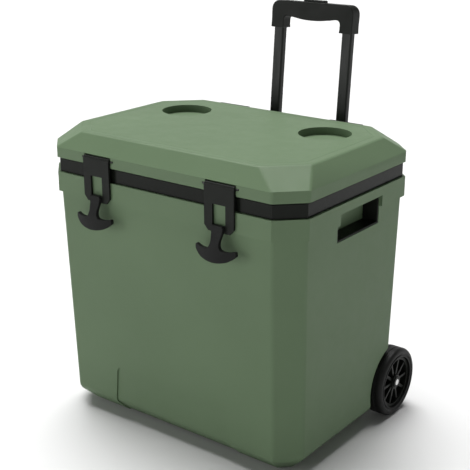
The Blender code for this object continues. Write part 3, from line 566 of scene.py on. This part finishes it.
def latchPull(side):
    node = f"latch_pull_{side}"
    low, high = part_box(node)
    bm = pullMesh()
    near = high.y - pull["thick"] * mm
    bmesh.ops.translate(bm, verts=bm.verts, vec=((low.x + high.x) / 2, near, 0.0))
    bmesh.ops.triangulate(bm, faces=[f for f in bm.faces if len(f.verts) > 4])
    addPiece(f"latchPull{side.capitalize()}", bm, [node], flatAngle=50.0)


for side in sides:
    latchPull(side)
print("latches")


# the handle's grip and its button

grip = {
    "tubeX": 67.5,
    "socketHalf": 11.8,
    "socketLow": 124.4,
    "barHalf": 80.2,
    "barLow": 144.5,
    "bulge": 4.5,
    "barHigh": 170.0,
    "depth": 22.0,
    "edge": 4.4,
    "cornerRadius": 15.0,
    "bulgeRadius": 9.0,
    "insideRadius": 8.0,
    "socketRadius": 1.2,
    "buttonHalf": (20.4, 6.4),
    "buttonWell": 14.0,
    "buttonRadius": 0.6,
    "handleY": 226.0,
    "lean": math.atan(0.08),
}
leaned = Matrix.Translation(at(0, grip["handleY"], lidHigh.z / mm)) @ Matrix.Rotation(-grip["lean"], 4, "X")


def gripMesh():
    # the right half of a bar with a bulge under its middle and a socket at its end
    inner = grip["tubeX"] - grip["socketHalf"]
    outer = grip["tubeX"] + grip["socketHalf"]
    low, high, under = grip["socketLow"], grip["barHigh"], grip["barLow"]
    outline = [
        (0.0, under - grip["bulge"]), (18.0, under - grip["bulge"] * 0.9),
        (38.0, under - grip["bulge"] * 0.15), (inner, under + 1.0), (inner, low + 6.0),
        (inner - 0.8, low), (outer + 0.8, low), (outer + 0.4, low + 12.0),
        (grip["barHalf"], under + 4.0), (grip["barHalf"], high), (0.0, high),
    ]
    bm = flatFace(outline)
    roundCorners(bm, [outline[1], outline[2]], grip["bulgeRadius"])
    roundCorners(bm, [outline[3]], grip["insideRadius"], 7)
    roundCorners(bm, [outline[9]], grip["cornerRadius"], 8)
    roundCorners(bm, [outline[5], outline[6], outline[8]], grip["socketRadius"], 3)
    thicken(bm, grip["depth"] * mm, grip["edge"] * mm, 5)
    bmesh.ops.translate(bm, verts=bm.verts, vec=(0.0, -grip["depth"] / 2 * mm, 0.0))
    cutWell(bm, high * mm, *grip["buttonHalf"], grip["buttonWell"])
    return bm


def cutWell(bm, top, halfX, halfY, depth):
    # a rectangular well in the flat top, for the button
    for axis, reach in ((0, halfX), (0, -halfX), (1, halfY), (1, -halfY)):
        flat = [f for f in bm.faces if all(abs(v.co.z - top) < 1e-6 for v in f.verts)]
        near = set(flat)
        for face in flat:
            near.update(face.edges)
            near.update(face.verts)
        spot, normal = Vector((0.0, 0.0, top)), Vector((0.0, 0.0, 0.0))
        spot[axis] = reach * mm
        normal[axis] = 1.0
        bmesh.ops.bisect_plane(bm, geom=list(near), dist=1e-7, plane_co=spot, plane_no=normal)
    middle = [
        f for f in bm.faces
        if all(abs(v.co.z - top) < 1e-6 for v in f.verts)
        and abs(f.calc_center_median().x) < halfX * mm and abs(f.calc_center_median().y) < halfY * mm
    ]
    made = bmesh.ops.extrude_face_region(bm, geom=middle)
    moved = [item for item in made["geom"] if isinstance(item, bmesh.types.BMVert)]
    bmesh.ops.delete(bm, geom=[f for f in middle if f.is_valid], context="FACES_KEEP_BOUNDARY")
    bmesh.ops.translate(bm, verts=moved, vec=(0.0, 0.0, -depth * mm))


gripPiece = gripMesh()
bmesh.ops.triangulate(gripPiece, faces=[f for f in gripPiece.faces if len(f.verts) > 4])
bmesh.ops.transform(gripPiece, matrix=leaned, verts=gripPiece.verts)
addPiece("gripBar", gripPiece, ["grip"], flatAngle=40.0)
refined("release_button", grip["buttonRadius"])
print("handle")


# the tyres

wheel = {
    "beadDepth": 14.0,
    "shoulder": 7.0,
    "sidewallDish": 1.6,
    "sidewallLip": (1.0, 1.8),          # how far the lip reaches in below the shoulder
    "flange": (1.6, 3.0),               # and the flange out above the bead
    "grooveDepth": 0.9,
    "grooveHalf": (0.8, 1.6),           # at its floor and at the tread
    "grooveSpots": (0.36, 0.64),        # shares of the width
    "shoulderSteps": 6,
    "segments": 96,
}


def tyreMesh(side, sign):
    # a profile of (across, radius) from the inner side outwards, turned about the axle
    low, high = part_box(f"tyre_{side}")
    centre = (low + high) / 2
    radius = (high.z - low.z) / 2
    width = high.x - low.x
    bead = radius - wheel["beadDepth"] * mm
    shoulder, steps = wheel["shoulder"] * mm, wheel["shoulderSteps"]
    groove, dish = wheel["grooveDepth"] * mm, wheel["sidewallDish"] * mm
    floorHalf, mouthHalf = [half * mm for half in wheel["grooveHalf"]]
    lipTop, lipFoot = [radius - shoulder - fall * mm for fall in wheel["sidewallLip"]]
    flangeLow, flangeHigh = [bead + rise * mm for rise in wheel["flange"]]
    profile = [(0.0, bead), (0.0, radius - shoulder)]
    for i in range(1, steps + 1):
        turn = math.radians(90) * i / steps
        profile.append((shoulder * (1 - math.cos(turn)), radius - shoulder * (1 - math.sin(turn))))
    for spot in wheel["grooveSpots"]:
        across = width * spot
        profile += [
            (across - mouthHalf, radius), (across - floorHalf, radius - groove),
            (across + floorHalf, radius - groove), (across + mouthHalf, radius),
        ]
    for i in range(steps):
        turn = math.radians(90) * i / steps
        profile.append((width - shoulder * (1 - math.sin(turn)), radius - shoulder * (1 - math.cos(turn))))
    profile += [
        (width, radius - shoulder), (width, lipTop), (width - dish * 0.6, lipFoot),
        (width - dish, flangeHigh), (width - dish * 0.2, flangeLow), (width - dish * 0.2, bead),
    ]
    bm = bmesh.new()
    inner = low.x if sign > 0 else high.x
    ring = [bm.verts.new((inner + sign * x, centre.y, centre.z + r)) for x, r in profile]
    edges = [bm.edges.new((ring[i], ring[(i + 1) % len(ring)])) for i in range(len(ring))]
    bmesh.ops.spin(
        bm, geom=ring + edges, cent=centre, axis=(1.0, 0.0, 0.0), angle=2 * math.pi,
        steps=wheel["segments"], use_merge=True, use_duplicate=False,
    )
    bmesh.ops.remove_doubles(bm, verts=bm.verts, dist=1e-6)
    bmesh.ops.recalc_face_normals(bm, faces=bm.faces)
    return bm


for side, sign in sides.items():
    addPiece(f"tyre{side.capitalize()}", tyreMesh(side, sign), [f"tyre_{side}"], flatAngle=40.0)
print("wheels")


# the smaller parts keep their CAD shape, with rounded edges

pairRadii = {
    "side_grip": 0.8,
    "latch_plate": 0.8,
    "rim": 0.5,
    "hinge_bracket": 0.8,
    "hinge_leaf": 0.6,
    "guide_cap": 0.8,
    "axle_clamp": 0.8,
}
singleRadii = {
    "handle_upper_bracket": 1.0,
    "handle_lower_bracket": 1.0,
    "drain_plug": 1.0,
    "inner_liner": 1.2,
    "lid_liner": 1.0,
}
for side in sides:
    for part, radius in pairRadii.items():
        refined(f"{part}_{side}", radius)
for node, radius in singleRadii.items():
    refined(node, radius)
print("trim")


# floor, light and camera

bpy.context.scene.view_settings.view_transform = "Standard"

studio = {
    "floorHalf": 40.0,
    "floorColour": (0.66, 0.66, 0.66),
    "worldColour": (1.0, 1.0, 1.0),
    "skyGlow": 1.0,           # brightness at the horizon
    "skyDark": 0.06,          # and overhead
    "skyBand": (0.17, 0.3),   # sine of the heights between which it fades
    "sunFrom": (-0.42, 0.3, 1.6),
    "sunStrength": 5.2,
    "sunSoftness": 50.0,      # degrees
    "boxPlace": (-1.5, -2.5, 0.75),
    "boxAim": (0.0, 0.0, 0.3),
    "boxSize": (1.6, 1.2),
    "boxPower": 19.0,
}
view = {
    "azimuth": 37.14,
    "elevation": 19.08,
    "distance": 1666.6 * mm,
    "target": at(9.1, 16.2, 301.4),
    "lens": 79.54,
    "shift": (-0.0087, -0.0037),
}


def addSoftbox():
    light = bpy.data.lights.new("frontSoftbox", "AREA")
    light.shape = "RECTANGLE"
    light.size, light.size_y = studio["boxSize"]
    light.energy = studio["boxPower"]
    lamp = bpy.data.objects.new("frontSoftbox", light)
    lamp.location = studio["boxPlace"]
    aim = Vector(studio["boxAim"]) - Vector(studio["boxPlace"])
    lamp.rotation_euler = aim.to_track_quat("-Z", "Y").to_euler()
    bpy.context.scene.collection.objects.link(lamp)


def addSun():
    light = bpy.data.lights.new("sun", "SUN")
    light.energy = studio["sunStrength"]
    light.angle = math.radians(studio["sunSoftness"])
    lamp = bpy.data.objects.new("sun", light)
    lamp.rotation_euler = (-Vector(studio["sunFrom"])).to_track_quat("-Z", "Y").to_euler()
    bpy.context.scene.collection.objects.link(lamp)


def addFloor():
    bm = bmesh.new()
    bmesh.ops.create_grid(bm, x_segments=1, y_segments=1, size=studio["floorHalf"])
    mesh = bpy.data.meshes.new("floor")
    bm.to_mesh(mesh)
    bm.free()
    floor = bpy.data.objects.new("floor", mesh)
    bpy.context.scene.collection.objects.link(floor)
    material, tree, shader, place = newMaterial("paleFloor")
    shader.inputs["Base Color"].default_value = (*studio["floorColour"], 1.0)
    shader.inputs["Roughness"].default_value = 0.8
    mesh.materials.append(material)


def addWorld():
    world = bpy.data.worlds.new("softWorld")
    world.use_nodes = True
    tree = world.node_tree
    background = tree.nodes["Background"]
    background.inputs["Color"].default_value = (*studio["worldColour"], 1.0)
    coords = tree.nodes.new("ShaderNodeTexCoord")
    split = tree.nodes.new("ShaderNodeSeparateXYZ")
    link(tree, coords.outputs["Generated"], split.inputs["Vector"])
    glow = remap(tree, split.outputs["Z"], studio["skyGlow"], studio["skyDark"], *studio["skyBand"])
    link(tree, glow, background.inputs["Strength"])
    bpy.context.scene.world = world


def addCamera():
    camera = bpy.data.cameras.new("camera")
    camera.lens = view["lens"]
    camera.shift_x, camera.shift_y = view["shift"]
    holder = bpy.data.objects.new("camera", camera)
    turn, rise = math.radians(view["azimuth"]), math.radians(view["elevation"])
    back = Vector((math.sin(turn) * math.cos(rise), -math.cos(turn) * math.cos(rise), math.sin(rise)))
    holder.location = view["target"] + back * view["distance"]
    holder.rotation_euler = (-back).to_track_quat("-Z", "Y").to_euler()
    bpy.context.scene.collection.objects.link(holder)
    bpy.context.scene.camera = holder


addFloor()
addWorld()
addSun()
addSoftbox()
addCamera()
